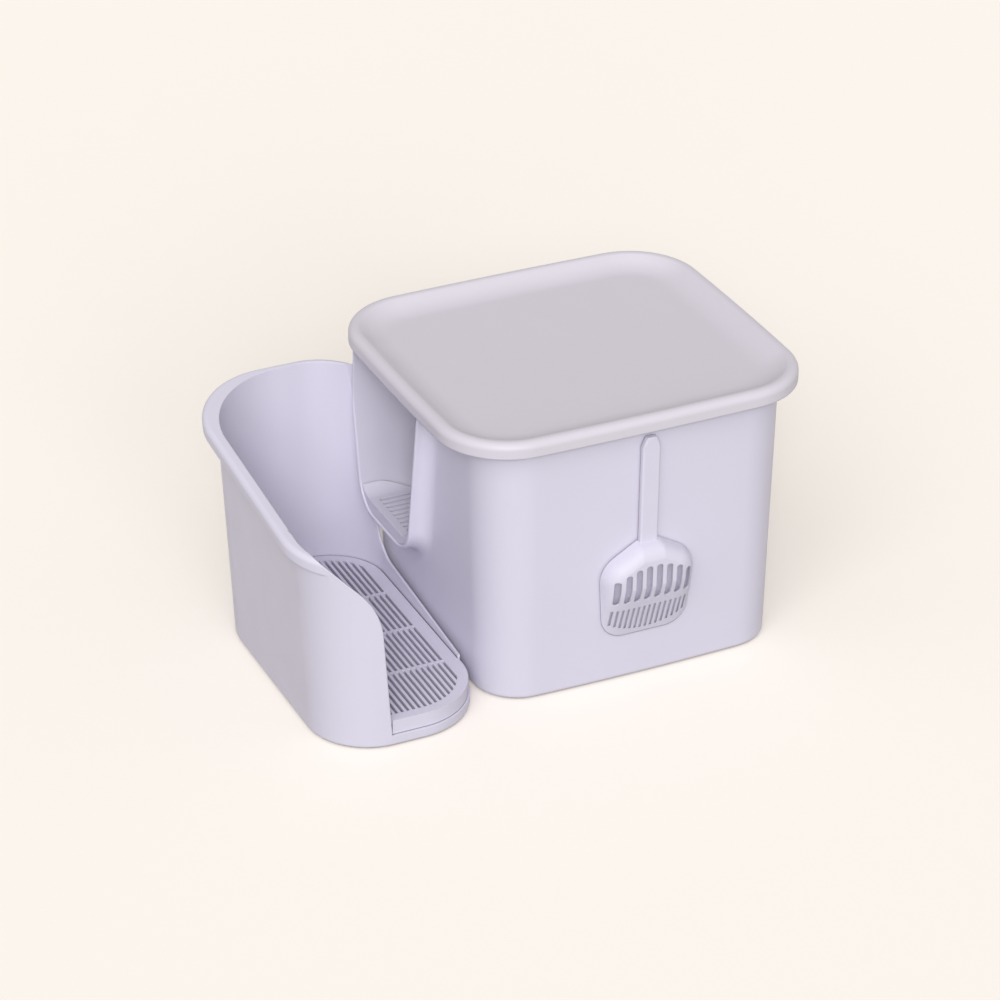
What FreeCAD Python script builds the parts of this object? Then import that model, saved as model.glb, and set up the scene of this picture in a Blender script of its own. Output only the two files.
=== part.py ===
"""Litter box: a deep tub with a tray-like lid, a walled step bin with a slotted tread, a shelf and a scoop.

Millimetres. The origin is on the floor under the middle of the tub. X runs along the tub's long front wall,
the step bin stands on the -X side, the scoop hangs on the -Y side and Z points up.
"""
import FreeCAD
import Part
import Sketcher
import math
import os

# Driving dimensions. Lengths are in millimetres, and names that end in share are plain ratios.
SIZES = {
    # Tub
    "tub_foot_width": 392.0,
    "tub_foot_depth": 364.0,
    "tub_foot_corner": 58.0,
    "tub_height": 343.0,
    "tub_lean": 8.0,
    "tub_bow": 6.0,
    "tub_wall": 3.0,
    "tub_floor": 4.0,
    "tub_foot_round": 6.0,
    "tub_inside_round": 8.0,
    "tub_rim_width": 5.0,
    "tub_rim_thickness": 2.0,
    # Entry cut into the tub's left wall, with a collar round it
    "entry_centre_share": 0.184,
    "entry_width_share": 0.4066,
    "entry_sill": 122.0,
    "entry_corner": 40.0,
    "entry_flare_share": 0.17,
    "collar_reach": 26.0,
    "collar_wall": 5.0,
    "collar_round": 2.3,
    "collar_root_round": 18.0,
    "collar_tuck": 0.4,
    "chute_reach": 56.0,
    "chute_lid_gap": 4.0,
    # Lid
    "lid_width": 457.0,
    "lid_depth": 415.0,
    "lid_offset": 3.5,
    "lid_corner": 90.0,
    "lid_bow": 4.5,
    "lid_crest": 17.0,
    "lid_drop": 2.2,
    "lid_roll": 9.0,
    "lid_roll_width": 19.0,
    "lid_plate": 3.5,
    "lid_dish_inset": 12.0,
    "lid_dish_slope_share": 1.6,
    "lid_dish_round": 55.0,
    "lid_wall": 3.0,
    "lid_roll_roof": 5.0,
    "lid_skirt_wall": 2.5,
    "lid_skirt_height": 9.0,
    "lid_skirt_gap": 2.0,
    # Step bin
    "bin_gap": 7.0,
    "bin_width": 203.5,
    "bin_front": 209.0,
    "bin_back": 184.0,
    "bin_front_left_corner": 78.0,
    "bin_front_right_corner": 85.0,
    "bin_back_right_corner": 75.0,
    "bin_back_left_corner": 105.0,
    "bin_height": 300.0,
    "bin_lean": 13.0,
    "bin_wall": 3.0,
    "bin_floor": 3.5,
    "bin_foot_round": 5.0,
    "bin_rim_slope_share": 0.132,
    "bin_flange_side": 12.0,
    "bin_flange_back": 8.0,
    "bin_flange_corner": 92.0,
    "bin_flange_drop": 19.0,
    "bin_flange_round": 7.0,
    "bin_flange_low_round": 4.0,
    "bin_ledge_width": 5.0,
    "bin_ledge_height": 29.0,
    "bin_front_lip": 15.0,
    "bin_mouth_width": 129.0,
    "bin_mouth_depth": 97.5,
    "bin_mouth_turn_width": 143.0,
    "bin_mouth_turn_height": 192.0,
    "bin_mouth_rise_share": 0.957,
    "bin_mouth_round": 95.0,
    "bin_side_low": 27.0,
    "bin_side_turn": 57.0,
    "bin_side_turn_from_back": 66.0,
    "bin_side_round": 40.0,
    "bin_side_edge_low": 146.0,
    "bin_side_edge_inset": 19.5,
    "bin_side_clear": 4.0,
    "bin_overrun": 20.0,
    # Two bumpers low on the bin's wall, which meet the tub
    "bumper_width": 12.0,
    "bumper_low": 8.0,
    "bumper_height": 14.0,
    "bumper_front": 70.0,
    "bumper_back": 60.0,
    "bumper_gap": 0.3,
    # Slotted tread in the step bin
    "grille_thickness": 5.0,
    "grille_gap": 1.2,
    "grille_border": 12.0,
    "grille_slot": 3.6,
    "grille_pitch": 7.3,
    "grille_bar": 4.0,
    "grille_row": 87.0,
    "grille_first_bar": 118.0,
    "grille_apron_inset": 3.0,
    "grille_apron_wall": 3.0,
    "grille_apron_gap": 0.4,
    # Entry shelf on the sill
    "shelf_rise": 16.0,
    "shelf_thickness": 4.0,
    "shelf_rim_rise": 27.0,
    "shelf_rim_wall": 2.4,
    "shelf_corner": 22.0,
    "shelf_gap": 0.4,
    "shelf_half_round": 68.0,
    "shelf_front_wall": 3.0,
    "shelf_slot": 4.6,
    "shelf_slot_pitch": 10.2,
    "shelf_slot_length": 44.0,
    "shelf_slot_border": 11.0,
    # Scoop
    "scoop_hang": 281.0,
    "scoop_offset": 3.0,
    "scoop_gap": 0.6,
    "scoop_tip_width": 111.0,
    "scoop_head_width": 123.0,
    "scoop_head_shoulder": 100.0,
    "scoop_head_height": 128.0,
    "scoop_tip_round": 30.0,
    "scoop_shoulder_round": 35.0,
    "scoop_depth": 24.0,
    "scoop_dome_inset": 24.0,
    "scoop_dome_low": 76.0,
    "scoop_dome_high_share": 0.8,
    "scoop_dome_shoulder_share": 0.2,
    "scoop_dome_tip_share": 0.9,
    "scoop_dome_turn_share": 1.15,
    "scoop_wall": 2.4,
    "scoop_neck_width": 28.0,
    "scoop_handle_width": 23.0,
    "scoop_handle_thickness": 6.5,
    "scoop_handle_top": 267.0,
    "scoop_handle_taper": 12.0,
    "scoop_handle_tip_width": 12.0,
    "scoop_handle_round": 2.5,
    "scoop_tongue_width": 10.0,
    "scoop_tongue_thickness": 4.0,
    "scoop_tongue_length": 8.0,
    "scoop_tongue_height": 255.0,
    "scoop_tongue_gap": 0.8,
    "scoop_slot": 8.0,
    "scoop_slot_pitch": 13.2,
    "scoop_slot_low": 55.0,
    "scoop_slot_high": 104.0,
    "scoop_slot_crown": 15.0,
    "scoop_fine_slot": 3.2,
    "scoop_fine_pitch": 6.9,
    "scoop_fine_low": 7.0,
    "scoop_fine_crown": 13.0,
    "scoop_fine_high": 44.0,
    # Pads under the tub and the bin
    "pad_radius": 10.0,
    "pad_height": 1.5,
    "pad_gap": 0.3,
    "tub_pad_inset": 62.0,
    "bin_pad_inset": 48.0,
    # Extra length by which every cut runs past the face it starts on
    "overrun": 5.0,
}
SCOOP_SLOTS = 8
SCOOP_FINE_SLOTS = 15
SLOT_ROUND_SHARE = 0.45
DOME_SHARES = ((0.0, 0.0, 0.0), (0.5, 0.15, 0.5), (0.82, 0.45, 0.8), (1.0, 1.0, 1.0))
SHELF_SLOTS = 9
SIDE_BEND_SHARE = 0.9
SHELF_ROUND_SHARE = 0.97
CLOSE_SHARE = 0.001

doc = FreeCAD.newDocument("litter_box")
sheet = doc.addObject("Spreadsheet::Sheet", "sizes")
for row, (alias, number) in enumerate(SIZES.items(), start=1):
    sheet.set(f"A{row}", alias)
    sheet.set(f"B{row}", str(number))
    sheet.setAlias(f"B{row}", alias)
doc.recompute()


class Size:
    """A number together with the sheet expression that gives it."""

    def __init__(self, value, text):
        self.value = value
        self.text = text

    @staticmethod
    def of(thing):
        return thing if isinstance(thing, Size) else Size(float(thing), str(thing))

    def __add__(self, other):
        other = Size.of(other)
        return Size(self.value + other.value, f"({self.text} + {other.text})")

    def __sub__(self, other):
        other = Size.of(other)
        return Size(self.value - other.value, f"({self.text} - {other.text})")

    def __mul__(self, other):
        other = Size.of(other)
        return Size(self.value * other.value, f"({self.text} * {other.text})")

    def __truediv__(self, other):
        other = Size.of(other)
        return Size(self.value / other.value, f"({self.text} / {other.text})")

    def __neg__(self):
        return Size(-self.value, f"(0 - {self.text})")


class Named:
    """Every driving dimension as an attribute."""


S = Named()
for alias in SIZES:
    setattr(S, alias, Size(float(sheet.get(alias)), f"sizes.{alias}"))
ZERO = Size(0.0, "0")
NEAR = S.overrun.value * CLOSE_SHARE


# Sketches
def origin_plane(body, role):
    return next(item for item in body.Origin.OriginFeatures if item.Role == role)


def new_sketch(body, name, role, offset=ZERO):
    sketch = body.newObject("Sketcher::SketchObject", name)
    sketch.AttachmentSupport = [(origin_plane(body, role), "")]
    sketch.MapMode = "FlatFace"
    sketch.setExpression("AttachmentOffset.Base.z", offset.text)
    return sketch


def place_point(geometry, point, x, y):
    """Rules that tie a point of a sketch to two sizes measured from the sketch's origin."""
    rules = []
    for kind, size, axis in (("DistanceX", x, -2), ("DistanceY", y, -1)):
        if size is ZERO:
            rules.append((Sketcher.Constraint("PointOnObject", geometry, point, axis), None))
        else:
            rules.append((Sketcher.Constraint(kind, -1, 1, geometry, point, size.value), size.text))
    return rules


def rounded_corner(before, corner, after, radius):
    """Tangent points and centre of the arc that rounds a corner."""
    towards_before = (before - corner).normalize()
    towards_after = (after - corner).normalize()
    half_angle = towards_before.getAngle(towards_after) / 2
    run = radius / math.tan(half_angle)
    bisector = (towards_before + towards_after).normalize()
    centre = corner + bisector * (radius / math.sin(half_angle))
    return corner + towards_before * run, corner + towards_after * run, centre


def trace(sketch, corners):
    """Draws a closed outline of straight sides and gives its rules. Each corner is (x, y, radius or None)."""
    count = len(corners)
    spots = [FreeCAD.Vector(x.value, y.value, 0) for x, y, radius in corners]
    ends = []
    for index, (x, y, radius) in enumerate(corners):
        if radius is None:
            ends.append((spots[index], spots[index], None))
        else:
            after = spots[(index + 1) % count]
            ends.append(rounded_corner(spots[index - 1], spots[index], after, radius.value))
    lines = [Part.LineSegment(ends[index][1], ends[(index + 1) % count][0]) for index in range(count)]
    sides = sketch.addGeometry(lines, False)
    rules = []
    for index, (x, y, radius) in enumerate(corners):
        before, after = sides[index - 1], sides[index]
        if radius is None:
            rules.append((Sketcher.Constraint("Coincident", before, 2, after, 1), None))
            rules += place_point(after, 1, x, y)
            continue
        start, end, centre = ends[index]
        forwards = (start - centre).cross(end - centre).z > 0
        first, last = (1, 2) if forwards else (2, 1)
        opening, closing = (start, end) if forwards else (end, start)
        opening_angle = math.atan2(opening.y - centre.y, opening.x - centre.x)
        closing_angle = math.atan2(closing.y - centre.y, closing.x - centre.x)
        circle = Part.Circle(centre, FreeCAD.Vector(0, 0, 1), radius.value)
        arc = sketch.addGeometry(Part.ArcOfCircle(circle, opening_angle, closing_angle), False)
        point = sketch.addGeometry(Part.Point(spots[index]), True)
        rules.append((Sketcher.Constraint("Tangent", before, 2, arc, first), None))
        rules.append((Sketcher.Constraint("Tangent", arc, last, after, 1), None))
        rules.append((Sketcher.Constraint("Radius", arc, radius.value), radius.text))
        rules.append((Sketcher.Constraint("PointOnObject", point, 1, before), None))
        rules.append((Sketcher.Constraint("PointOnObject", point, 1, after), None))
        rules += place_point(point, 1, x, y)
    return rules


def add_rules(sketch, rules):
    """Gives a sketch its constraints, and ties each dimension to the sheet."""
    places = sketch.addConstraint([rule for rule, text in rules])
    for place, (rule, text) in zip(places, rules):
        if text is not None:
            sketch.setExpression(f"Constraints[{place}]", text)
    return sketch


def outline(body, name, role, offset, *loops):
    """A sketch of closed outlines on one of the body's origin planes, moved along that plane's normal."""
    sketch = new_sketch(body, name, role, offset)
    rules = []
    for corners in loops:
        rules += trace(sketch, corners)
    return add_rules(sketch, rules)


def box_loop(left, low, right, high):
    return [(left, low, None), (right, low, None), (right, high, None), (left, high, None)]


def bowed_loop(width, depth, corner, bow, shift=ZERO):
    """A rounded rectangle whose four sides swell outwards a little, moved along X by a shift."""
    x, y = width / 2, depth / 2
    long_bend = (x - corner) * x / bow * SIDE_BEND_SHARE
    short_bend = (y - corner) * y / bow * SIDE_BEND_SHARE
    left, right = shift - x, shift + x
    return [
        (left, -y, corner), (shift, -y - bow, long_bend), (right, -y, corner),
        (right + bow, ZERO, short_bend),
        (right, y, corner), (shift, y + bow, long_bend), (left, y, corner),
        (left - bow, ZERO, short_bend),
    ]


def round_sockets(body, name, centres, radius):
    """A sketch of equal circles on the body's floor plane."""
    sketch = new_sketch(body, name, "XY_Plane")
    rules = []
    for x, y in centres:
        middle = FreeCAD.Vector(x.value, y.value, 0)
        circle = sketch.addGeometry(Part.Circle(middle, FreeCAD.Vector(0, 0, 1), radius.value), False)
        rules.append((Sketcher.Constraint("Radius", circle, radius.value), radius.text))
        rules += place_point(circle, 3, x, y)
    return add_rules(sketch, rules)


# Features
def new_body(name):
    return doc.addObject("PartDesign::Body", name)


def grow(body, kind, profile, length, reverse=False):
    """A pad or pocket of a given length."""
    feature = body.newObject(f"PartDesign::{kind}", f"{profile.Name}_{kind.lower()}")
    feature.Profile = profile
    feature.setExpression("Length", length.text)
    feature.Reversed = reverse
    doc.recompute()
    return feature


def loft(body, kind, sections):
    """A smooth loft through a row of sketches."""
    feature = body.newObject(f"PartDesign::{kind}", f"{sections[0].Name}_loft")
    feature.Profile = sections[0]
    feature.Sections = sections[1:]
    doc.recompute()
    return feature


def leaning_prism(body, profile, height, lean_share):
    """A pad whose sides lean out from its lower end by a share of the height."""
    base = grow(body, "Pad", profile, height)
    foot_height = base.Shape.BoundBox.ZMin + NEAR
    sides = []
    foot = []
    for index, face in enumerate(base.Shape.Faces, start=1):
        if face.BoundBox.ZLength > NEAR * 2:
            sides.append(f"Face{index}")
        elif face.BoundBox.ZMax < foot_height:
            foot.append(f"Face{index}")
    draft = body.newObject("PartDesign::Draft", f"{profile.Name}_lean")
    draft.Base = (base, sides)
    draft.NeutralPlane = (base, foot)
    draft.Reversed = True
    draft.setExpression("Angle", f"atan({lean_share.text})")
    doc.recompute()
    return draft


def combine(body, name, other, kind):
    """Cuts another body out of this one, or keeps only what both share."""
    feature = body.newObject("PartDesign::Boolean", name)
    feature.Type = kind
    feature.setObjects([other])
    doc.recompute()
    return feature


def round_edges(body, name, wanted, radius):
    """Rounds every edge of the body's present shape that the test wants."""
    base = body.Tip
    names = [f"Edge{index}" for index, edge in enumerate(base.Shape.Edges, start=1) if wanted(edge)]
    fillet = body.newObject("PartDesign::Fillet", name)
    fillet.Base = (base, names)
    fillet.setExpression("Radius", radius.text)
    doc.recompute()
    return fillet


def lies_on(axis, value):
    """A test for edges that lie wholly on a plane square to an axis."""

    def wanted(edge):
        low, high = getattr(edge.BoundBox, f"{axis}Min"), getattr(edge.BoundBox, f"{axis}Max")
        return abs(low - value) < NEAR and abs(high - value) < NEAR

    return wanted


def bar(name, x, y, z, length, width, height):
    """A plain bar, tied to the sheet."""
    piece = doc.addObject("Part::Box", name)
    for label, size in (("Length", length), ("Width", width), ("Height", height)):
        piece.setExpression(label, size.text)
    for axis, size in (("x", x), ("y", y), ("z", z)):
        piece.setExpression(f"Placement.Base.{axis}", size.text)
    return piece


def join(name, pieces):
    """Several solids made one."""
    joined = doc.addObject("Part::MultiFuse", name)
    joined.Shapes = pieces
    return joined


# Places of the round pads let into both bottoms
bin_right = -(S.tub_foot_width / 2 + S.bin_gap)
bin_left = bin_right - S.bin_width
PAD_SIDES = (("front_left", -1, -1), ("front_right", 1, -1), ("back_left", -1, 1), ("back_right", 1, 1))
tub_pads = {}
bin_pads = {}
for place, x_side, y_side in PAD_SIDES:
    tub_x = (S.tub_foot_width / 2 - S.tub_pad_inset) * x_side
    tub_y = (S.tub_foot_depth / 2 - S.tub_pad_inset) * y_side
    tub_pads[place] = (tub_x, tub_y)
    bin_x = bin_left + S.bin_pad_inset if x_side < 0 else bin_right - S.bin_pad_inset
    bin_y = S.bin_pad_inset - S.bin_front if y_side < 0 else S.bin_back - S.bin_pad_inset
    bin_pads[place] = (bin_x, bin_y)
socket_radius = S.pad_radius + S.pad_gap


# Tub
tub_lean_share = S.tub_lean / S.tub_height


def tub_loop(height, inset):
    """The tub's outline at a height, with its walls leaning out evenly towards the rim."""
    lean = height * tub_lean_share
    spread = (lean - inset) * 2
    return bowed_loop(
        S.tub_foot_width - S.tub_bow * 2 + spread,
        S.tub_foot_depth + spread,
        S.tub_foot_corner + lean - inset,
        S.tub_bow,
    )


def lid_loop(inset):
    """The lid's outline, which stands out further on the entry's side."""
    return bowed_loop(S.lid_width - inset * 2, S.lid_depth - inset * 2, S.lid_corner - inset, S.lid_bow,
                      -S.lid_offset)


entry_centre = S.tub_foot_depth * S.entry_centre_share
entry_half = S.tub_foot_depth * S.entry_width_share / 2
bend_height = S.entry_sill + S.entry_corner


def u_loop(half, low, high, corner):
    """A U-shaped outline across the left wall, flaring from its half width where the bends end."""
    foot_half = half - (bend_height - low) * S.entry_flare_share
    top_half = half + (high - bend_height) * S.entry_flare_share
    return [
        (entry_centre - foot_half, low, corner), (entry_centre + foot_half, low, corner),
        (entry_centre + top_half, high, None), (entry_centre - top_half, high, None),
    ]


def entry_loop(margin, high):
    """The entry's outline, wider by a margin."""
    return u_loop(entry_half + margin, S.entry_sill - margin, high, S.entry_corner + margin)


def meets_wall(edge):
    """A test for the edges where the collar's outside meets the tub's wall."""
    box = edge.BoundBox
    beside = box.XMax < -collar_root.value / 2 and box.XMin > -(collar_face - S.collar_wall).value
    above_sill = box.ZMin > (S.entry_sill - S.collar_wall * 2).value
    long_enough = box.ZLength + box.YLength > S.collar_wall.value
    return beside and above_sill and long_enough and not on_rim(edge)


on_rim = lies_on("Z", S.tub_height.value)
collar_face = S.tub_foot_width / 2 + S.collar_reach
collar_root = S.tub_foot_width / 2 - S.tub_foot_corner

floor_top = S.tub_floor
core = new_body("tub_core")
leaning_prism(core, outline(core, "tub_inside", "XY_Plane", floor_top, tub_loop(floor_top, S.tub_wall)),
              S.tub_height - floor_top + S.overrun, tub_lean_share)
round_edges(core, "tub_inside_edge", lies_on("Z", floor_top.value), S.tub_inside_round)

tub = new_body("tub")
leaning_prism(tub, outline(tub, "tub_foot", "XY_Plane", ZERO, tub_loop(ZERO, ZERO)),
              S.tub_height, tub_lean_share)
round_edges(tub, "tub_foot_edge", lies_on("Z", 0), S.tub_foot_round)
grow(tub, "Pad",
     outline(tub, "tub_collar", "YZ_Plane", -collar_face, entry_loop(S.collar_wall, S.tub_height)),
     collar_face - collar_root)
round_edges(tub, "tub_collar_root", meets_wall, S.collar_root_round)
rim_low = S.tub_height - S.tub_rim_thickness
grow(tub, "Pad",
     outline(tub, "tub_rim_flange", "XY_Plane", rim_low, tub_loop(rim_low, -S.tub_rim_width)),
     S.tub_rim_thickness)
combine(tub, "tub_hollow", core, "Cut")
chute_start = S.tub_foot_width / 2 + S.tub_lean
chute_end = S.tub_foot_width / 2 - S.chute_reach
chute_top = S.tub_height - S.lid_skirt_height - S.chute_lid_gap
grow(tub, "Pad",
     outline(tub, "tub_chute", "YZ_Plane", -chute_start, entry_loop(S.collar_wall, chute_top)),
     chute_start - chute_end)
grow(tub, "Pocket",
     outline(tub, "tub_entry", "YZ_Plane", -collar_face - S.overrun,
             entry_loop(ZERO, S.tub_height + S.overrun)),
     collar_face - chute_end + S.overrun * 2, reverse=True)
round_edges(tub, "tub_collar_lip", lies_on("X", -collar_face.value), S.collar_round)
round_edges(tub, "tub_chute_lip", lies_on("X", -chute_end.value), S.collar_round)
under_lid = lid_loop(S.lid_wall + S.collar_tuck)
lid_shadow = new_body("lid_shadow")
grow(lid_shadow, "Pad", outline(lid_shadow, "lid_shadow_outline", "XY_Plane", ZERO, under_lid), S.tub_height)
combine(tub, "tub_under_lid", lid_shadow, "Common")

# The scoop leans with the front wall, and its tongue sits in a slot there
lean_angle = math.atan2(S.tub_lean.value, S.tub_height.value)
front_half = S.tub_foot_depth / 2 + S.tub_bow
scoop_low = S.tub_height - S.scoop_hang
tongue_height = scoop_low + S.scoop_tongue_height
slot_half = S.scoop_tongue_width / 2 + S.scoop_tongue_gap
slot_rise = S.scoop_tongue_thickness / 2 + S.scoop_tongue_gap
grow(tub, "Pocket",
     outline(tub, "tub_scoop_slot", "XZ_Plane", front_half + S.tub_lean + S.overrun,
             box_loop(S.scoop_offset - slot_half, tongue_height - slot_rise,
                      S.scoop_offset + slot_half, tongue_height + slot_rise)),
     S.tub_lean + S.overrun * 2 + S.tub_wall)
grow(tub, "Pocket", round_sockets(tub, "tub_pad_sockets", tub_pads.values(), socket_radius), S.pad_height,
     reverse=True)


# Lid
lid_low = S.tub_height - S.lid_drop
lid_crest = S.tub_height + S.lid_crest
dish_floor = S.tub_height + S.lid_plate

lid = new_body("lid")
grow(lid, "Pad", outline(lid, "lid_outside", "XY_Plane", lid_low, lid_loop(ZERO)), lid_crest - lid_low)
dish_depth = lid_crest - dish_floor
dish_foot_inset = S.lid_dish_inset + dish_depth * S.lid_dish_slope_share
dish = new_body("lid_dish")
leaning_prism(dish, outline(dish, "dish_foot", "XY_Plane", dish_floor, lid_loop(dish_foot_inset)),
              dish_depth + S.overrun, S.lid_dish_slope_share)
combine(lid, "lid_dish_cut", dish, "Cut")
round_edges(lid, "lid_roll_edges", lies_on("Z", lid_crest.value), S.lid_roll)
round_edges(lid, "lid_dish_edge", lies_on("Z", dish_floor.value), S.lid_dish_round)
grow(lid, "Pocket", outline(lid, "lid_rim_seat", "XY_Plane", lid_low, lid_loop(S.lid_wall)),
     S.lid_drop, reverse=True)
hollow_inner = S.lid_roll_width - S.lid_wall
grow(lid, "Pocket",
     outline(lid, "lid_roll_hollow", "XY_Plane", lid_low, lid_loop(S.lid_wall), lid_loop(hollow_inner)),
     lid_crest - S.lid_roll_roof - lid_low, reverse=True)
skirt_inset = S.tub_wall + S.lid_skirt_gap
grow(lid, "Pad",
     outline(lid, "lid_skirt", "XY_Plane", S.tub_height, tub_loop(S.tub_height, skirt_inset),
             tub_loop(S.tub_height, skirt_inset + S.lid_skirt_wall)),
     S.lid_skirt_height, reverse=True)


# Step bin
bin_lean_share = S.bin_lean / S.bin_height


def bin_loop(height, inset):
    """The bin's outline at a height."""
    spread = height * bin_lean_share - inset
    left, right = bin_left - spread, bin_right + spread
    front, back = -S.bin_front - spread, S.bin_back + spread
    return [
        (left, front, S.bin_front_left_corner + spread), (right, front, S.bin_front_right_corner + spread),
        (right, back, S.bin_back_right_corner + spread), (left, back, S.bin_back_left_corner + spread),
    ]


def flange_loop(height):
    """The outline of the rim's flange, outside the bin on the left and the back only."""
    spread = height * bin_lean_share
    left, right = bin_left - spread - S.bin_flange_side, bin_right + spread
    front, back = S.bin_flange_side - S.bin_front - spread, S.bin_back + spread + S.bin_flange_back
    return [
        (left, front, S.bin_front_left_corner + spread), (right, front, S.bin_front_right_corner + spread),
        (right, back, S.bin_back_right_corner + spread), (left, back, S.bin_flange_corner + spread),
    ]


def bin_solid(name, low, high, loop):
    """A leaning prism on one of the bin's outlines, in a body of its own."""
    body = new_body(name)
    leaning_prism(body, outline(body, f"{name}_foot", "XY_Plane", low, loop), high - low, bin_lean_share)
    return body


def rim_height(y, drop):
    """Height of the rim's slope, which falls from the back wall to the front."""
    return S.bin_height - drop - (S.bin_back + S.bin_lean - y) * S.bin_rim_slope_share


def cut_rim(body, name, drop=ZERO, below=False):
    """Trims a body above, or below, the rim's slope."""
    front, back = -(S.bin_front + S.bin_lean + S.bin_overrun), S.bin_back + S.bin_lean + S.bin_overrun
    low, high = rim_height(front, drop), rim_height(back, drop)
    end = -S.overrun if below else S.bin_height + S.bin_overrun
    loop = [(front, low, None), (back, high, None), (back, end, None), (front, end, None)]
    start = bin_left - S.bin_lean - S.bin_overrun
    sketch = outline(body, name, "YZ_Plane", start, loop)
    grow(body, "Pocket", sketch, S.bin_width + (S.bin_lean + S.bin_overrun) * 2, reverse=True)


def lies_on_rim(drop):
    """A test for edges that lie wholly on the rim's slope."""

    def wanted(edge):
        points = edge.discretize(Number=3)
        heights = [rim_height(Size.of(point.y), drop).value for point in points]
        return all(abs(point.z - height) < NEAR for point, height in zip(points, heights))

    return wanted


def cut_mouth(body, name):
    """Opens the front and the front right corner above a low lip, with a swept corner on the left."""
    edge = bin_right - S.bin_mouth_width
    turn = bin_right - S.bin_mouth_turn_width
    far = bin_left - S.bin_lean - S.bin_overrun
    high = S.bin_mouth_turn_height + (turn - far) * S.bin_mouth_rise_share
    right = bin_right + S.bin_lean + S.overrun
    loop = [
        (edge, S.bin_front_lip, None), (right, S.bin_front_lip, None), (right, high, None),
        (far, high, None), (turn, S.bin_mouth_turn_height, S.bin_mouth_round),
    ]
    beyond = S.bin_lean + S.overrun
    sketch = outline(body, name, "XZ_Plane", S.bin_front + beyond, loop)
    grow(body, "Pocket", sketch, S.bin_mouth_depth + beyond)


def cut_side(body, name):
    """Lowers the wall beside the tub, from a free edge behind the collar to a low rail."""
    front = -(S.bin_front + S.bin_lean + S.overrun)
    high = S.bin_height + S.overrun
    collar_half = entry_half + S.collar_wall + S.bin_side_clear
    edge = entry_centre + collar_half - (bend_height - S.bin_side_edge_low) * S.entry_flare_share
    top_edge = edge + (high - S.bin_side_edge_low) * S.entry_flare_share
    loop = [
        (front, S.bin_side_low, None),
        (S.bin_back - S.bin_side_turn_from_back, S.bin_side_turn, S.bin_side_round),
        (edge, S.bin_side_edge_low, None), (top_edge, high, None), (front, high, None),
    ]
    start = bin_right - S.bin_side_edge_inset
    grow(body, "Pocket", outline(body, name, "YZ_Plane", start, loop),
         S.bin_side_edge_inset + S.bin_lean + S.overrun, reverse=True)


bin_floor_top = S.bin_floor
bin_top = S.bin_height + S.bin_overrun

inside = bin_solid("bin_inside", bin_floor_top, bin_top + S.overrun, bin_loop(bin_floor_top, S.bin_wall))
shell = bin_solid("bin_shell", ZERO, bin_top, bin_loop(ZERO, ZERO))
round_edges(shell, "bin_foot_edge", lies_on("Z", 0), S.bin_foot_round)
combine(shell, "bin_hollow", inside, "Cut")
cut_rim(shell, "bin_rim_cut")
cut_side(shell, "bin_side_cut")
ledge_low = S.bin_floor / 2
grow(shell, "Pad",
     outline(shell, "bin_ledge", "XY_Plane", ledge_low, bin_loop(ZERO, S.bin_wall),
             bin_loop(ZERO, S.bin_wall + S.bin_ledge_width)),
     S.bin_ledge_height - ledge_low)
cut_mouth(shell, "bin_mouth_cut")
grow(shell, "Pocket", round_sockets(shell, "bin_pad_sockets", bin_pads.values(), socket_radius), S.pad_height,
     reverse=True)

flange_low = S.bin_height / 2
hollow_low = flange_low - S.overrun
flange_inside = bin_solid("flange_inside", hollow_low, bin_top + S.overrun, bin_loop(hollow_low, S.bin_wall))
flange = bin_solid("bin_flange", flange_low, bin_top, flange_loop(flange_low))
cut_rim(flange, "flange_rim_cut")
cut_rim(flange, "flange_low_cut", S.bin_flange_drop, below=True)
round_edges(flange, "flange_top_edge", lies_on_rim(ZERO), S.bin_flange_round)
round_edges(flange, "flange_low_edge", lies_on_rim(S.bin_flange_drop), S.bin_flange_low_round)
combine(flange, "flange_hollow", flange_inside, "Cut")
cut_side(flange, "flange_side_cut")
cut_mouth(flange, "flange_mouth_cut")

bumper_start = bin_right - S.bin_wall / 2
bumper_blanks = []
for name, middle in (("bumper_front", -S.bumper_front), ("bumper_back", S.bumper_back)):
    bumper_blanks.append(bar(name, bumper_start, middle - S.bumper_width / 2, S.bumper_low,
                             S.bin_wall + S.bin_gap + S.tub_bow, S.bumper_width, S.bumper_height))
tub_clear = new_body("tub_clear")
leaning_prism(tub_clear,
              outline(tub_clear, "tub_clear_foot", "XY_Plane", ZERO, tub_loop(ZERO, -S.bumper_gap)),
              S.bumper_low + S.bumper_height + S.overrun, tub_lean_share)
bumpers = doc.addObject("Part::Cut", "bin_bumpers")
bumpers.Base = join("bumper_blanks", bumper_blanks)
bumpers.Tool = tub_clear
step_bin = join("step_bin", [shell, flange, bumpers])


# Slotted tread of the step bin
grille_top = S.bin_ledge_height + S.grille_thickness
grille_inset = S.bin_wall + S.grille_gap

grille_plate = new_body("grille_plate")
grow(grille_plate, "Pad",
     outline(grille_plate, "grille_outline", "XY_Plane", S.bin_ledge_height,
             bin_loop(S.bin_ledge_height, grille_inset)),
     S.grille_thickness)

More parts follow.
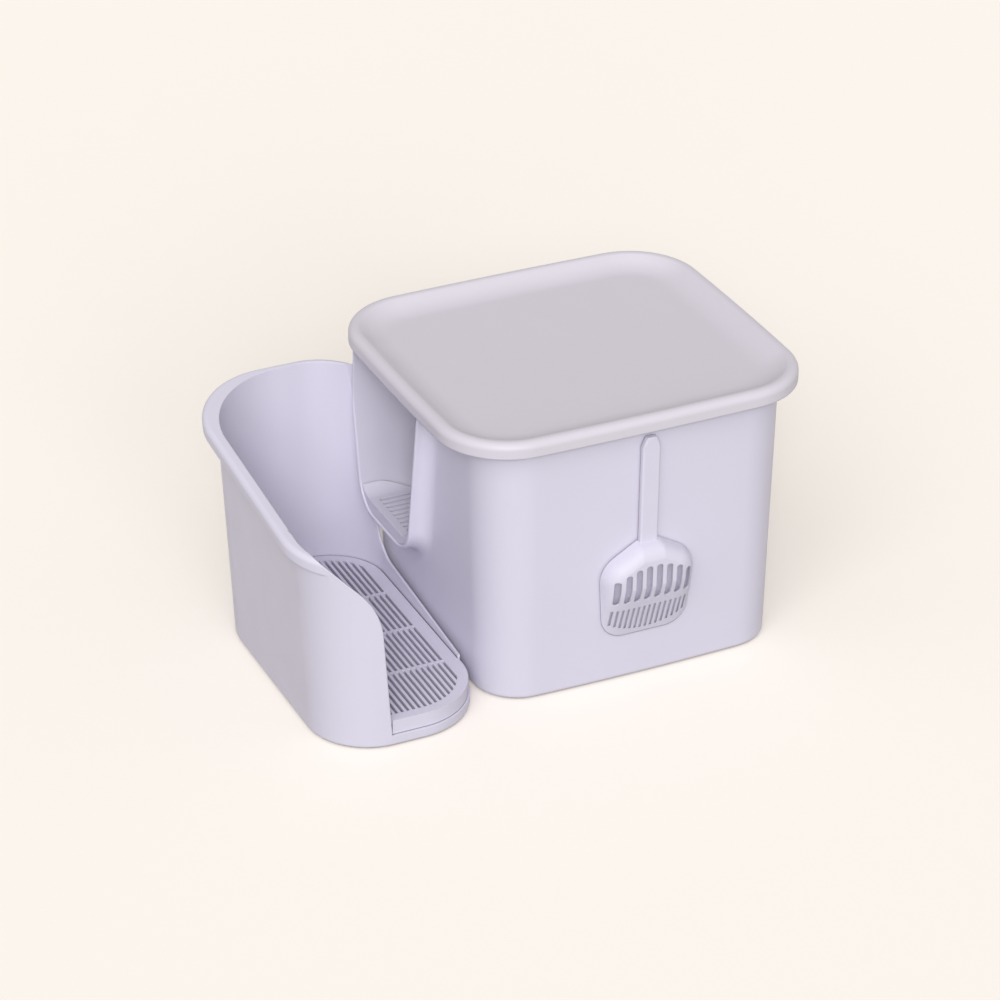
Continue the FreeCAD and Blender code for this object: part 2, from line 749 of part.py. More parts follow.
apron_low = S.bin_front_lip + S.grille_apron_gap
apron_hollow_low = apron_low - S.overrun
apron_inside = bin_solid("apron_inside", apron_hollow_low, S.bin_ledge_height,
                         bin_loop(apron_hollow_low, S.grille_apron_inset + S.grille_apron_wall))
apron = bin_solid("grille_apron", apron_low, grille_top, bin_loop(apron_low, S.grille_apron_inset))
combine(apron, "apron_hollow", apron_inside, "Cut")
apron_left = bin_right - S.bin_mouth_width + S.grille_gap
apron_back = S.bin_front - S.bin_mouth_depth + S.grille_gap
apron_far = S.bin_front + S.bin_lean + S.overrun
apron_keep = new_body("grille_apron_keep")
grow(apron_keep, "Pad",
     outline(apron_keep, "apron_region", "XY_Plane", ZERO,
             box_loop(apron_left, -apron_far, bin_right + S.bin_lean + S.overrun, -apron_back)),
     grille_top + S.overrun)
apron_part = doc.addObject("Part::Common", "grille_apron_part")
apron_part.Base = apron
apron_part.Tool = apron_keep

slot_field = new_body("grille_slot_field")
grow(slot_field, "Pad",
     outline(slot_field, "slot_field_outline", "XY_Plane", S.bin_ledge_height - S.overrun,
             bin_loop(S.bin_ledge_height, grille_inset + S.grille_border)),
     S.grille_thickness + S.overrun * 2)


field_low = S.bin_ledge_height - S.overrun
field_height = S.grille_thickness + S.overrun * 2
field_depth = S.bin_front + S.bin_back
field_width = S.bin_width - (grille_inset + S.grille_border) * 2
slot_count = int(field_width.value / S.grille_pitch.value)
first_slot = bin_right - S.bin_width / 2 - S.grille_pitch * ((slot_count - 1) / 2) - S.grille_slot / 2
slots = []
for index in range(slot_count):
    slots.append(bar(f"grille_slot_{index + 1}", first_slot + S.grille_pitch * index, -S.bin_front, field_low,
                     S.grille_slot, field_depth, field_height))
slot_set = doc.addObject("Part::Common", "grille_slot_set")
slot_set.Base = join("grille_slot_comb", slots)
slot_set.Tool = slot_field
rails = []
row_count = int((field_depth.value - S.grille_first_bar.value) / S.grille_row.value)
for index in range(row_count):
    rail_y = S.bin_back - S.grille_first_bar - S.grille_row * index
    rails.append(bar(f"grille_rail_{index + 1}", bin_left, rail_y - S.grille_bar, field_low,
                     S.bin_width, S.grille_bar, field_height))
slot_cutter = doc.addObject("Part::Cut", "grille_slot_cutter")
slot_cutter.Base = slot_set
slot_cutter.Tool = join("grille_rail_comb", rails)
step_grille = doc.addObject("Part::Cut", "step_grille")
step_grille.Base = join("grille_blank", [grille_plate, apron_part])
step_grille.Tool = slot_cutter


# Entry shelf: a half-round dish that drops into the chute, closed at the front and slotted for litter
shelf_face = collar_face - S.collar_round
shelf_tip = S.tub_foot_width / 2 + S.tub_lean - S.shelf_half_round
shelf_top = S.entry_sill + S.shelf_rise
shelf_rim = S.entry_sill + S.shelf_rim_rise
shelf_length = shelf_face - shelf_tip

entry_shelf = new_body("entry_shelf")
grow(entry_shelf, "Pad",
     outline(entry_shelf, "shelf_block", "YZ_Plane", -shelf_face, entry_loop(-S.shelf_gap, shelf_rim)),
     shelf_length)
dish_half = entry_half - S.shelf_gap - S.shelf_rim_wall
grow(entry_shelf, "Pocket",
     outline(entry_shelf, "shelf_dish", "YZ_Plane", -shelf_face - S.overrun,
             u_loop(dish_half, shelf_top, shelf_rim + S.overrun, S.shelf_corner)),
     shelf_length + S.overrun * 2, reverse=True)

plan = new_body("shelf_plan")
plan_corner = S.shelf_half_round * SHELF_ROUND_SHARE
plan_low, plan_high = entry_centre - S.shelf_half_round, entry_centre + S.shelf_half_round
grow(plan, "Pad",
     outline(plan, "shelf_plan_outline", "XY_Plane", S.entry_sill, [
         (-shelf_face, plan_low, None), (-shelf_tip, plan_low, plan_corner),
         (-shelf_tip, plan_high, plan_corner), (-shelf_face, plan_high, None),
     ]),
     S.shelf_rim_rise + S.overrun)
combine(entry_shelf, "shelf_half_round", plan, "Common")

slot_start = -shelf_face + S.shelf_slot_border
first_y = entry_centre - S.shelf_slot_pitch * ((SHELF_SLOTS - 1) / 2)
shelf_slots = []
for index in range(SHELF_SLOTS):
    middle = first_y + S.shelf_slot_pitch * index
    shelf_slots.append(box_loop(slot_start, middle - S.shelf_slot / 2,
                                slot_start + S.shelf_slot_length, middle + S.shelf_slot / 2))
grow(entry_shelf, "Pocket", outline(entry_shelf, "shelf_slots", "XY_Plane", shelf_rim, *shelf_slots),
     S.shelf_rim_rise)
slot_field_half = S.shelf_slot_pitch * (SHELF_SLOTS / 2)
grow(entry_shelf, "Pocket",
     outline(entry_shelf, "shelf_underside", "XY_Plane", S.entry_sill,
             box_loop(-shelf_face + S.shelf_front_wall, entry_centre - slot_field_half,
                      -shelf_tip + S.overrun, entry_centre + slot_field_half)),
     S.shelf_rise - S.shelf_thickness, reverse=True)


# Scoop, drawn upright with its back on the plane y = 0 and its tip at z = 0
def scoop_loop(inset, rise, wall):
    """Outline of the scoop's head, shrunk towards the flat of its dome and by a wall, with its tip risen."""
    tip = S.scoop_tip_width / 2 - inset - wall
    wide = S.scoop_head_width / 2 - inset - wall
    low = rise + wall
    shoulder = S.scoop_head_shoulder - inset * S.scoop_dome_shoulder_share - wall
    high = S.scoop_head_height - inset * S.scoop_dome_high_share - wall
    neck = S.scoop_neck_width / 2 - wall
    tip_round = S.scoop_tip_round - inset * S.scoop_dome_tip_share - wall
    shoulder_round = S.scoop_shoulder_round - inset * S.scoop_dome_turn_share - wall
    return [
        (-tip, low, tip_round), (tip, low, tip_round), (wide, shoulder, shoulder_round),
        (neck, high, None), (-neck, high, None), (-wide, shoulder, shoulder_round),
    ]


def scoop_dome(name, depth, wall):
    """Sketches from the scoop's mouth on the wall out to the flat of its dome."""
    sections = []
    for index, (depth_share, inset_share, rise_share) in enumerate(DOME_SHARES):
        loop = scoop_loop(S.scoop_dome_inset * inset_share, S.scoop_dome_low * rise_share, wall)
        sections.append(outline(scoop, f"{name}_{index + 1}", "XZ_Plane", depth * depth_share, loop))
    return sections


scoop = new_body("scoop")
handle_low = S.scoop_head_shoulder
handle_top = S.scoop_handle_top
handle_half, handle_tip = S.scoop_handle_width / 2, S.scoop_handle_tip_width / 2
taper_low = handle_top - S.scoop_handle_taper
grow(scoop, "Pad",
     outline(scoop, "scoop_handle", "XZ_Plane", ZERO, [
         (-handle_half, handle_low, None), (handle_half, handle_low, None), (handle_half, taper_low, None),
         (handle_tip, handle_top, None), (-handle_tip, handle_top, None), (-handle_half, taper_low, None),
     ]),
     S.scoop_handle_thickness)
round_edges(scoop, "scoop_handle_edges", lies_on("Y", -S.scoop_handle_thickness.value), S.scoop_handle_round)
loft(scoop, "AdditiveLoft", scoop_dome("scoop_head", S.scoop_depth, ZERO))
loft(scoop, "SubtractiveLoft", scoop_dome("scoop_hollow", S.scoop_depth - S.scoop_wall, S.scoop_wall))
tongue_half_width = S.scoop_tongue_width / 2
tongue_half_rise = S.scoop_tongue_thickness / 2
grow(scoop, "Pad",
     outline(scoop, "scoop_tongue", "XZ_Plane", ZERO,
             box_loop(-tongue_half_width, S.scoop_tongue_height - tongue_half_rise,
                      tongue_half_width, S.scoop_tongue_height + tongue_half_rise)),
     S.scoop_tongue_length, reverse=True)


def scoop_slots(name, count, pitch, width, low, low_crown, high, high_crown, round_end):
    """A row of upright slots. Their ends follow shallow curves, set by how far the outer slots fall short."""
    middle_index = (count - 1) / 2
    loops = []
    for index in range(count):
        place_share = (index - middle_index) / middle_index
        crown_share = place_share * place_share
        middle = pitch * (index - middle_index)
        left, right = middle - width / 2, middle + width / 2
        foot, head = low + low_crown * crown_share, high - high_crown * crown_share
        loops.append([(left, foot, round_end), (right, foot, round_end), (right, head, round_end),
                      (left, head, round_end)])
    grow(scoop, "Pocket", outline(scoop, name, "XZ_Plane", S.scoop_depth + S.overrun, *loops),
         S.scoop_depth + S.overrun)


scoop_slots("scoop_slots", SCOOP_SLOTS, S.scoop_slot_pitch, S.scoop_slot,
            S.scoop_slot_low, ZERO, S.scoop_slot_high, S.scoop_slot_crown, S.scoop_slot * SLOT_ROUND_SHARE)
scoop_slots("scoop_fine_slots", SCOOP_FINE_SLOTS, S.scoop_fine_pitch, S.scoop_fine_slot,
            S.scoop_fine_low, S.scoop_fine_crown, S.scoop_fine_high, ZERO, None)
scoop_back = front_half + S.tub_lean * (scoop_low / S.tub_height) + S.scoop_gap
scoop.Placement.Rotation = FreeCAD.Rotation(FreeCAD.Vector(1, 0, 0), math.degrees(lean_angle))
scoop.setExpression("Placement.Rotation.Angle", f"atan({tub_lean_share.text})")
for axis, size in (("x", S.scoop_offset), ("y", -scoop_back), ("z", scoop_low)):
    scoop.setExpression(f"Placement.Base.{axis}", size.text)


# Pads under the tub and the step bin
def pad(name, x, y):
    piece = doc.addObject("Part::Cylinder", name)
    piece.setExpression("Radius", S.pad_radius.text)
    piece.setExpression("Height", S.pad_height.text)
    piece.setExpression("Placement.Base.x", x.text)
    piece.setExpression("Placement.Base.y", y.text)
    return piece


parts = {"tub": tub, "lid": lid, "step_bin": step_bin, "step_grille": step_grille,
         "entry_shelf": entry_shelf, "scoop": scoop}
for place in tub_pads:
    parts[f"tub_pad_{place}"] = pad(f"tub_pad_{place}", *tub_pads[place])
    parts[f"step_pad_{place}"] = pad(f"step_pad_{place}", *bin_pads[place])
doc.recompute()

# Checks and export
for item in doc.Objects:
    if "Invalid" in item.State or "Error" in item.State:
        raise RuntimeError(f"{item.Name} failed: {item.State}")
os.makedirs("parts", exist_ok=True)
for label, item in parts.items():
    item.Label = label
    if item.Shape.isNull() or not item.Shape.isValid():
        raise RuntimeError(f"{label} has no valid shape")
    item.Shape.exportStep(f"parts/{label}.step")
    box = item.Shape.BoundBox
    print(label, "solids", len(item.Shape.Solids), "volume", round(item.Shape.Volume),
          "x", round(box.XMin, 1), round(box.XMax, 1), "y", round(box.YMin, 1), round(box.YMax, 1),
          "z", round(box.ZMin, 1), round(box.ZMax, 1))
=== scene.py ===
"""A litter box with its lid, walk-in step and scoop, dressed in pale lavender moulded plastic."""

import math

import bpy
from mathutils import Matrix, Vector


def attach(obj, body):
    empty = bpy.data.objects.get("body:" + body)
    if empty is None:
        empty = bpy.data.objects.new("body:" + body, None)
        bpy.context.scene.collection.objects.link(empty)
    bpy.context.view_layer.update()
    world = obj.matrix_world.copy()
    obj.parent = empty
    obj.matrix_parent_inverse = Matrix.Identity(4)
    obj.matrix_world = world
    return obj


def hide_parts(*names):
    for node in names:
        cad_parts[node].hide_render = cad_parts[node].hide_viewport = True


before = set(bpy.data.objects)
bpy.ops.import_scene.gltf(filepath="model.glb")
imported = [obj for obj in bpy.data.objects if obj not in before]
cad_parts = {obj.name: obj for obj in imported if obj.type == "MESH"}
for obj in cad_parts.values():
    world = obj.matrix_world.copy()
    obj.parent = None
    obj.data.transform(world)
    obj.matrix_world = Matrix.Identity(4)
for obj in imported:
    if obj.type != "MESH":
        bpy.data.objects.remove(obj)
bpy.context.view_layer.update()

# Colours, as linear red, green and blue
LAVENDER = (0.672, 0.645, 0.758, 1.0)
# Paler edge colour: wear, and a painted highlight along the rounded edges
LAVENDER_WEAR_AND_HIGHLIGHT = (0.728, 0.706, 0.806, 1.0)
LAVENDER_DULL = (0.594, 0.567, 0.675, 1.0)
LID_LAVENDER = (0.634, 0.600, 0.665, 1.0)
# The lid's paler edge colour: wear, and a painted highlight along its rolled rim
LID_WEAR_AND_HIGHLIGHT = (0.689, 0.659, 0.717, 1.0)
# Painted shade: the colour laid into crevices and narrow gaps where shade falls, and a darker one
# for the step's slots
CREVICE_SHADE = (0.330, 0.305, 0.375, 1.0)
CREVICE_DEEP_SHADE = (0.170, 0.150, 0.195, 1.0)
PAD_GREY = (0.215, 0.210, 0.235, 1.0)
# The pads' dull clouds, and also their painted shade in crevices
PAD_DULL_AND_SHADE = (0.150, 0.146, 0.165, 1.0)
PAPER = (0.982, 0.922, 0.855, 1.0)
PAPER_BOUNCE = (0.300, 0.285, 0.270, 1.0)
WHITE = (1.0, 1.0, 1.0, 1.0)

# Colours of a finish: its own, paler at the edges as wear and painted highlight, dull in the
# clouds, and painted shade in the crevices
PLAIN_COLOURS = (LAVENDER, LAVENDER_WEAR_AND_HIGHLIGHT, LAVENDER_DULL, CREVICE_SHADE)
# The step's pieces take the darker painted shade in their slots and gaps
DEEP_SHADE_COLOURS = (LAVENDER, LAVENDER_WEAR_AND_HIGHLIGHT, LAVENDER_DULL, CREVICE_DEEP_SHADE)
LID_COLOURS = (LID_LAVENDER, LID_WEAR_AND_HIGHLIGHT, LAVENDER_DULL, CREVICE_SHADE)
PAD_COLOURS = (PAD_GREY, PAD_GREY, PAD_DULL_AND_SHADE, PAD_DULL_AND_SHADE)

# Lengths, in metres
MERGE = 0.00001
MILLIMETRE = 0.001
EDGE_BREAK = 0.55 * MILLIMETRE
SLOT_BREAK = 0.35 * MILLIMETRE
NO_BREAK = 0
# Painted shade reaches this far out from a near surface
CREVICE_SHADE_REACH = 6 * MILLIMETRE
FLOOR_REACH = 6.0
FLOOR_DROP = 0.15 * MILLIMETRE
PAD_RADIUS = 10.0 * MILLIMETRE
PAD_HEIGHT = 1.5 * MILLIMETRE
PAD_GROOVE = 0.4 * MILLIMETRE
PAD_RIM = 0.26 * PAD_RADIUS
PAD_RING = 0.24 * PAD_RADIUS
PAD_BREAK = 0.2 * MILLIMETRE

# Angles, in degrees
FLAT_WITHIN = 0.05
SHARP_FROM = 42
SMOOTH_WITHIN = 38
PAD_SHARP_FROM = 40
PAD_SMOOTH_WITHIN = 35
RIGHT_ANGLE = 90

# Counts, and how far down a face looks to be the pad's underside
BREAK_STEPS = 2
PAD_SIDES = 48
LOOKS_DOWN = -0.9
NODE_STEP = 220

# The moulded skin: its noises, and its spans as from, to, least and most
CLOUD_NOISE = {"Detail": 3.0, "Roughness": 0.45}
GRAIN_NOISE = {"Detail": 2.0, "Roughness": 0.55}
HANDLING_NOISE = {"Scale": 26.0, "Detail": 5.0}
CLOUD_SPAN = (0.30, 0.75, 0.0, 0.16)
# Paler edges, as wear and painted highlight: how far the colour goes toward the paler one as the
# surface rounds off
EDGE_WEAR_AND_HIGHLIGHT_SPAN = (0.99, 0.72, 0.0, 0.55)
# Painted shade: how far the colour goes toward the crevice shade as other surfaces come near
CREVICE_SHADE_SPAN = (0.55, 0.12, 0.0, 0.85)
SHEEN_SPAN = (0.25, 0.75, -0.05, 0.07)
GRAIN_STRENGTH = 0.35
EDGE_POLISH = -0.12
EDGE_SAMPLES = 6
CREVICE_SHADE_SAMPLES = 8
PLASTIC_GLOSS = {"IOR": 1.49, "Specular IOR Level": 0.42}

# Light, where 1 shows a colour as it is written
ROOM_LIGHT = 0.495
FLOOR_GLOW = 0.086
FLOOR_ROUGHNESS = 0.9

# Soft lamps: name, azimuth, elevation and spread in degrees, strength
LAMPS = (
    ("eye_lamp", -25, 29, 15, 0.91),
    ("front_lamp", -5, 20, 20, 0.55),
    ("soft_left_lamp", -40, 40, 45, 0.96),
    ("low_lamp", -25, 10, 20, 0.26),
)

# The camera of the photograph
CAMERA_LENS = 137.17
CAMERA_SENSOR = 36.0
CAMERA_NEAR = 0.1
CAMERA_FAR = 100.0
CAMERA_AZIMUTH = -24.954
CAMERA_ELEVATION = 29.38
CAMERA_TARGET = Vector((-0.09710, 0.0, 0.16639))
CAMERA_DISTANCE = 4.59686


def select_only(piece):
    """Leave this one object selected and active."""
    bpy.ops.object.select_all(action="DESELECT")
    piece.select_set(True)
    bpy.context.view_layer.objects.active = piece


def bearing(azimuth, elevation):
    """Direction out from the object: azimuth turns from the front to the right, in degrees."""
    turn = math.radians(azimuth)
    rise = math.radians(elevation)
    across = math.sin(turn) * math.cos(rise)
    along = -math.cos(turn) * math.cos(rise)
    return Vector((across, along, math.sin(rise)))


def set_sockets(node, values):
    """Write values on a node's own sockets."""
    for socket, value in values.items():
        node.inputs[socket].default_value = value


def add_node(tree, kind, values=None, **settings):
    """Put a node beside the last one, with its settings and the values of its sockets."""
    node = tree.nodes.new(kind)
    node.location = (NODE_STEP * len(tree.nodes), 0)
    for name, value in settings.items():
        setattr(node, name, value)
    set_sockets(node, values or {})
    return node


def noise(tree, place, values):
    """Cloudy noise over the piece's own place."""
    texture = add_node(tree, "ShaderNodeTexNoise", values)
    tree.links.new(place, texture.inputs["Vector"])
    return texture


def remap(tree, value, span):
    """Stretch a value over a span: from, to, least and most."""
    names = ("From Min", "From Max", "To Min", "To Max")
    stretch = add_node(tree, "ShaderNodeMapRange", dict(zip(names, span)))
    tree.links.new(value, stretch.inputs["Value"])
    return stretch.outputs["Result"]


def blend(tree, share, first, second):
    """Mix a share of the second colour into the first."""
    mix = add_node(tree, "ShaderNodeMix", data_type="RGBA")
    tree.links.new(share, mix.inputs["Factor"])
    tree.links.new(first, mix.inputs["A"])
    tree.links.new(second, mix.inputs["B"])
    return mix.outputs["Result"]


def reckon(tree, operation, first, second, **settings):
    """Work out one value from two others."""
    node = add_node(tree, "ShaderNodeMath", operation=operation, **settings)
    tree.links.new(first, node.inputs[0])
    tree.links.new(second, node.inputs[1])
    return node.outputs["Value"]


def moulded_skin_group():
    """Satin moulded plastic: clouding, paler edges as wear and painted highlight, painted shade
    in the crevices and the grain of the mould.
    """
    tree = bpy.data.node_groups.new("moulded_skin", "ShaderNodeTree")
    for name in ("Colour", "Edge Wear And Highlight Colour", "Dull Colour", "Crevice Shade Colour"):
        tree.interface.new_socket(name=name, in_out="INPUT", socket_type="NodeSocketColor")
    for name in ("Cloud Scale", "Grain Scale", "Grain Height", "Edge Radius", "Roughness"):
        tree.interface.new_socket(name=name, in_out="INPUT", socket_type="NodeSocketFloat")
    for name, kind in (("Colour", "Color"), ("Roughness", "Float"), ("Normal", "Vector")):
        tree.interface.new_socket(name=name, in_out="OUTPUT", socket_type="NodeSocket" + kind)
    join = tree.links.new
    way_in = add_node(tree, "NodeGroupInput").outputs
    way_out = add_node(tree, "NodeGroupOutput").inputs
    place = add_node(tree, "ShaderNodeTexCoord").outputs["Object"]

    cloud = noise(tree, place, CLOUD_NOISE)
    join(way_in["Cloud Scale"], cloud.inputs["Scale"])
    cloud_share = remap(tree, cloud.outputs["Fac"], CLOUD_SPAN)
    clouded = blend(tree, cloud_share, way_in["Colour"], way_in["Dull Colour"])

    # Paler edges, as wear and painted highlight, where the rounded normal turns away from the
    # flat one
    rounded = add_node(tree, "ShaderNodeBevel", samples=EDGE_SAMPLES)
    join(way_in["Edge Radius"], rounded.inputs["Radius"])
    facing = add_node(tree, "ShaderNodeNewGeometry")
    likeness = add_node(tree, "ShaderNodeVectorMath", operation="DOT_PRODUCT")
    join(rounded.outputs["Normal"], likeness.inputs[0])
    join(facing.outputs["Normal"], likeness.inputs[1])
    edge = remap(tree, likeness.outputs["Value"], EDGE_WEAR_AND_HIGHLIGHT_SPAN)
    wear_and_highlight = blend(tree, edge, clouded, way_in["Edge Wear And Highlight Colour"])

    # Painted shade: the colour goes toward the crevice shade where other surfaces are near
    corner = add_node(tree, "ShaderNodeAmbientOcclusion", {"Distance": CREVICE_SHADE_REACH},
                      samples=CREVICE_SHADE_SAMPLES)
    painted_shade_share = remap(tree, corner.outputs["AO"], CREVICE_SHADE_SPAN)
    shaded_colour = blend(tree, painted_shade_share, wear_and_highlight, way_in["Crevice Shade Colour"])
    join(shaded_colour, way_out["Colour"])

    grain = noise(tree, place, GRAIN_NOISE)
    join(way_in["Grain Scale"], grain.inputs["Scale"])
    grained = add_node(tree, "ShaderNodeBump", {"Strength": GRAIN_STRENGTH})
    join(way_in["Grain Height"], grained.inputs["Distance"])
    join(grain.outputs["Fac"], grained.inputs["Height"])
    join(rounded.outputs["Normal"], grained.inputs["Normal"])
    join(grained.outputs["Normal"], way_out["Normal"])

    handling = noise(tree, place, HANDLING_NOISE)
    sheen_change = remap(tree, handling.outputs["Fac"], SHEEN_SPAN)
    uneven = reckon(tree, "ADD", way_in["Roughness"], sheen_change)
    polish = add_node(tree, "ShaderNodeMath", {1: EDGE_POLISH}, operation="MULTIPLY")
    join(edge, polish.inputs[0])
    finish = reckon(tree, "ADD", uneven, polish.outputs["Value"], use_clamp=True)
    join(finish, way_out["Roughness"])
    return tree


SKIN = moulded_skin_group()


def moulded(name, colours, roughness, grain_height, edge_radius, cloud_scale, grain_scale):
    """One moulded finish, with the shared skin's values set for a piece."""
    finish = bpy.data.materials.new(name)
    finish.use_nodes = True
    tree = finish.node_tree
    shader = tree.nodes["Principled BSDF"]
    set_sockets(shader, PLASTIC_GLOSS)
    colour, wear_and_highlight, dull, crevice_shade = colours
    skin = add_node(tree, "ShaderNodeGroup", node_tree=SKIN)
    set_sockets(skin, {
        "Colour": colour,
        "Edge Wear And Highlight Colour": wear_and_highlight,
        "Dull Colour": dull,
        "Crevice Shade Colour": crevice_shade,
        "Cloud Scale": cloud_scale,
        "Grain Scale": grain_scale,
        "Roughness": roughness,
        "Grain Height": grain_height,
        "Edge Radius": edge_radius,
    })
    tree.links.new(skin.outputs["Colour"], shader.inputs["Base Color"])
    tree.links.new(skin.outputs["Roughness"], shader.inputs["Roughness"])
    tree.links.new(skin.outputs["Normal"], shader.inputs["Normal"])
    return finish


TUB_SATIN = moulded("tub_satin", PLAIN_COLOURS, roughness=0.40,
                    grain_height=0.05 * MILLIMETRE, edge_radius=2.0 * MILLIMETRE,
                    cloud_scale=9.0, grain_scale=1500.0)
LID_SATIN = moulded("lid_satin", LID_COLOURS, roughness=0.44,
                    grain_height=0.06 * MILLIMETRE, edge_radius=2.0 * MILLIMETRE,
                    cloud_scale=7.0, grain_scale=1500.0)
STEP_SATIN = moulded("step_satin", DEEP_SHADE_COLOURS, roughness=0.41,
                     grain_height=0.05 * MILLIMETRE, edge_radius=2.0 * MILLIMETRE,
                     cloud_scale=11.0, grain_scale=1500.0)
TREAD_MATT = moulded("tread_matt", DEEP_SHADE_COLOURS, roughness=0.50,
                     grain_height=0.08 * MILLIMETRE, edge_radius=1.0 * MILLIMETRE,
                     cloud_scale=14.0, grain_scale=1100.0)
SHELF_MATT = moulded("shelf_matt", DEEP_SHADE_COLOURS, roughness=0.48,
                     grain_height=0.07 * MILLIMETRE, edge_radius=1.0 * MILLIMETRE,
                     cloud_scale=14.0, grain_scale=1100.0)
SCOOP_SATIN = moulded("scoop_satin", PLAIN_COLOURS, roughness=0.56,
                      grain_height=0.04 * MILLIMETRE, edge_radius=0.8 * MILLIMETRE,
                      cloud_scale=18.0, grain_scale=1800.0)
PAD_RUBBER = moulded("pad_rubber", PAD_COLOURS, roughness=0.72,
                     grain_height=0.10 * MILLIMETRE, edge_radius=0.4 * MILLIMETRE,
                     cloud_scale=60.0, grain_scale=2400.0)


def break_edges(piece, width, sharp):
    """Take off every edge sharper than an angle with a narrow round."""
    edges = piece.modifiers.new("edge_break", "BEVEL")
    edges.limit_method = "ANGLE"
    edges.angle_limit = math.radians(sharp)
    edges.width = width
    edges.segments = BREAK_STEPS
    edges.use_clamp_overlap = True
    bpy.ops.object.modifier_apply(modifier=edges.name)


def dress(node, body, finish, edge_break):
    """A smooth copy of a solid, its triangles joined and its sharp edges broken if asked."""
    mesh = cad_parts[node].data.copy()
    mesh.name = node + "_skin"
    mesh.materials.clear()
    mesh.materials.append(finish)
    piece = bpy.data.objects.new(node + "_skin", mesh)
    bpy.context.scene.collection.objects.link(piece)
    select_only(piece)
    bpy.ops.mesh.customdata_custom_splitnormals_clear()
    bpy.ops.object.mode_set(mode="EDIT")
    bpy.ops.mesh.select_all(action="SELECT")
    bpy.ops.mesh.remove_doubles(threshold=MERGE)
    if edge_break:
        bpy.ops.mesh.dissolve_limited(angle_limit=math.radians(FLAT_WITHIN))
    bpy.ops.object.mode_set(mode="OBJECT")
    if edge_break:
        break_edges(piece, edge_break, SHARP_FROM)
    bpy.ops.object.shade_smooth_by_angle(angle=math.radians(SMOOTH_WITHIN))
    level = piece.modifiers.new("level_faces", "WEIGHTED_NORMAL")
    level.keep_sharp = True
    bpy.ops.object.modifier_apply(modifier=level.name)
    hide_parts(node)
    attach(piece, body)


dress("tub", "tub", TUB_SATIN, EDGE_BREAK)
dress("lid", "lid", LID_SATIN, NO_BREAK)
dress("step_bin", "step_bin", STEP_SATIN, EDGE_BREAK)
dress("step_grille", "step_grille", TREAD_MATT, SLOT_BREAK)
dress("entry_shelf", "entry_shelf", SHELF_MATT, SLOT_BREAK)
dress("scoop", "scoop", SCOOP_SATIN, SLOT_BREAK)


def rubber_pad():
    """One glued pad: a round-edged disc with a sunk ring in the side that meets the floor."""
    bpy.ops.object.select_all(action="DESELECT")
    bpy.ops.mesh.primitive_cylinder_add(vertices=PAD_SIDES, radius=PAD_RADIUS, depth=PAD_HEIGHT,
                                        location=(0, 0, PAD_HEIGHT / 2))
    pad = bpy.context.object
    bpy.ops.object.transform_apply(location=True, rotation=True, scale=True)
    for face in pad.data.polygons:
        face.select = face.normal.z < LOOKS_DOWN
    bpy.ops.object.mode_set(mode="EDIT")
    bpy.ops.mesh.select_mode(type="FACE")
    bpy.ops.mesh.inset(thickness=PAD_RIM)
    bpy.ops.mesh.extrude_region_move(TRANSFORM_OT_translate={"value": (0, 0, PAD_GROOVE)})
    bpy.ops.mesh.inset(thickness=PAD_RING)
    bpy.ops.mesh.extrude_region_move(TRANSFORM_OT_translate={"value": (0, 0, -PAD_GROOVE)})
    bpy.ops.mesh.select_all(action="SELECT")
    bpy.ops.mesh.normals_make_consistent(inside=False)
    bpy.ops.object.mode_set(mode="OBJECT")
    break_edges(pad, PAD_BREAK, PAD_SHARP_FROM)
    bpy.ops.object.shade_smooth_by_angle(angle=math.radians(PAD_SMOOTH_WITHIN))
    pad.data.materials.append(PAD_RUBBER)
    return pad


def middle(values):
    """Half way between the least and the most."""
    return (min(values) + max(values)) / 2


def set_pads(pattern):
    """A copy of the pad in each place under the tub and the step."""
    for name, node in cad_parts.items():
        if "_pad_" in name:
            corners = [vertex.co for vertex in node.data.vertices]
            across = middle([corner.x for corner in corners])
            along = middle([corner.y for corner in corners])
            mesh = pattern.data.copy()
            mesh.transform(Matrix.Translation((across, along, 0.0)))
            pad = bpy.data.objects.new(name + "_rubber", mesh)
            bpy.context.scene.collection.objects.link(pad)
            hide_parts(name)
            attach(pad, "tub" if name.startswith("tub") else "step_bin")
    bpy.data.objects.remove(pattern)


set_pads(rubber_pad())


def eye_rays(tree):
    """Picks out the rays that show the background itself: straight, mirrored or through glass."""
    path = add_node(tree, "ShaderNodeLightPath").outputs
    straight = reckon(tree, "MAXIMUM", path["Is Camera Ray"], path["Is Glossy Ray"])
    return reckon(tree, "MAXIMUM", straight, path["Is Transmission Ray"])


def show_to_eye(tree, lit, seen, output):
    """Show the eye one shader while all other light meets another."""
    choose = add_node(tree, "ShaderNodeMixShader")
    tree.links.new(eye_rays(tree), choose.inputs["Fac"])
    tree.links.new(lit, choose.inputs[1])
    tree.links.new(seen, choose.inputs[2])
    tree.links.new(choose.outputs["Shader"], tree.nodes[output].inputs["Surface"])


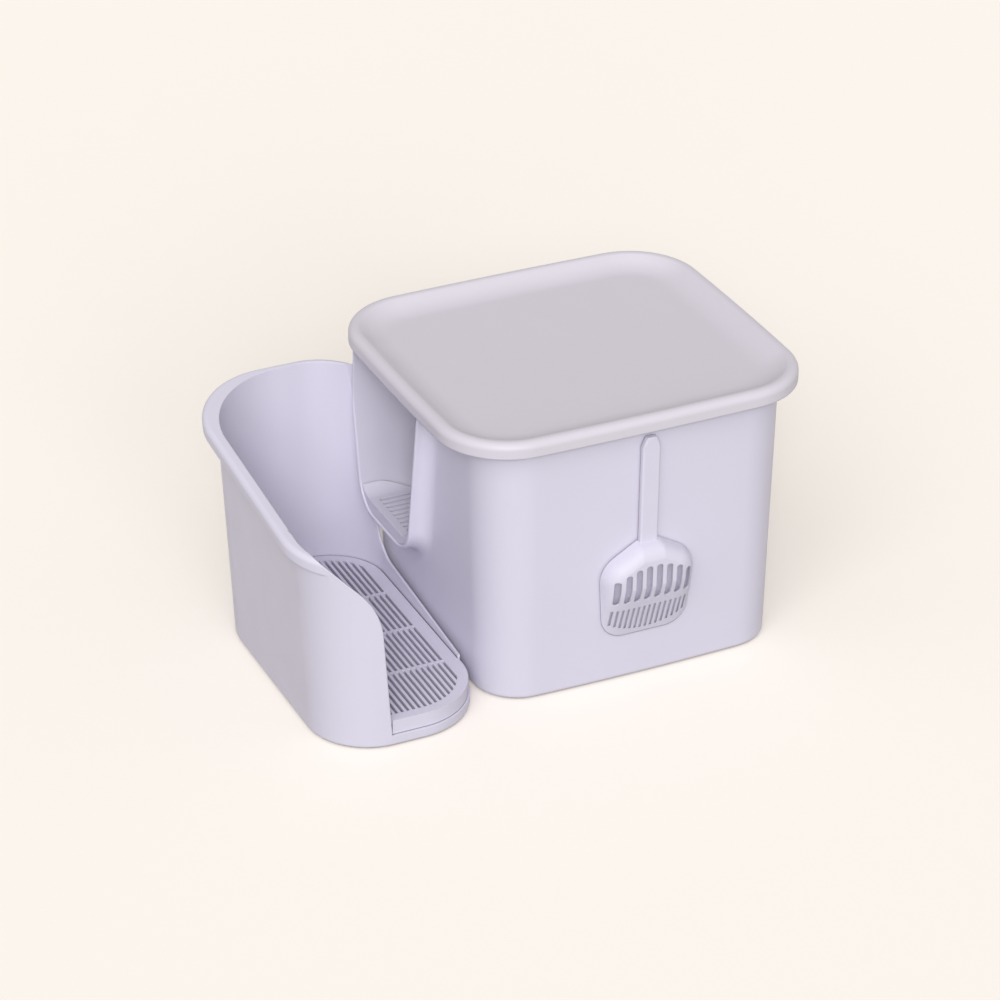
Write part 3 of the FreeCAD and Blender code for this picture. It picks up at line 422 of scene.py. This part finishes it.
def paper_floor():
    """The pale floor: seen as flat paper that takes the shadow, and giving little light back."""
    bpy.ops.object.select_all(action="DESELECT")
    bpy.ops.mesh.primitive_plane_add(size=2 * FLOOR_REACH, location=(0, 0, -FLOOR_DROP))
    floor = bpy.context.object
    floor.name = "floor"
    paper = bpy.data.materials.new("floor_paper")
    paper.use_nodes = True
    tree = paper.node_tree
    shader = tree.nodes["Principled BSDF"]
    set_sockets(shader, {
        "Base Color": PAPER,
        "Roughness": FLOOR_ROUGHNESS,
        "Specular IOR Level": 0.0,
        "Emission Color": PAPER,
        "Emission Strength": FLOOR_GLOW,
    })
    bounce = add_node(tree, "ShaderNodeBsdfDiffuse", {"Color": PAPER_BOUNCE})
    show_to_eye(tree, bounce.outputs["BSDF"], shader.outputs["BSDF"], "Material Output")
    floor.data.materials.append(paper)


def sun(name, azimuth, elevation, spread, strength):
    """A large soft lamp far off, shining from the given side."""
    lamp = bpy.data.lights.new(name, "SUN")
    lamp.energy = strength
    lamp.angle = math.radians(spread)
    holder = bpy.data.objects.new(name, lamp)
    holder.rotation_mode = "QUATERNION"
    holder.rotation_quaternion = bearing(azimuth, elevation).to_track_quat("Z", "Y")
    bpy.context.scene.collection.objects.link(holder)


def room_light():
    """Even light from all round, with the paper's colour behind the object."""
    world = bpy.data.worlds.new("studio")
    bpy.context.scene.world = world
    world.use_nodes = True
    tree = world.node_tree
    shade = tree.nodes["Background"]
    set_sockets(shade, {"Color": WHITE, "Strength": ROOM_LIGHT})
    paper = add_node(tree, "ShaderNodeBackground", {"Color": PAPER, "Strength": 1.0})
    show_to_eye(tree, shade.outputs["Background"], paper.outputs["Background"], "World Output")


def photo_camera():
    """The camera where the photograph was taken from."""
    back = bearing(CAMERA_AZIMUTH, CAMERA_ELEVATION)
    right = bearing(CAMERA_AZIMUTH + RIGHT_ANGLE, 0)
    up = back.cross(right)
    camera = bpy.data.cameras.new("camera")
    camera.lens = CAMERA_LENS
    camera.sensor_width = CAMERA_SENSOR
    camera.clip_start = CAMERA_NEAR
    camera.clip_end = CAMERA_FAR
    holder = bpy.data.objects.new("camera", camera)
    bpy.context.scene.collection.objects.link(holder)
    turn = Matrix((right, up, back)).transposed().to_4x4()
    holder.matrix_world = Matrix.Translation(CAMERA_TARGET + back * CAMERA_DISTANCE) @ turn
    bpy.context.scene.camera = holder


paper_floor()
for lamp_values in LAMPS:
    sun(*lamp_values)
room_light()
photo_camera()

bpy.context.scene.view_settings.view_transform = "Standard"
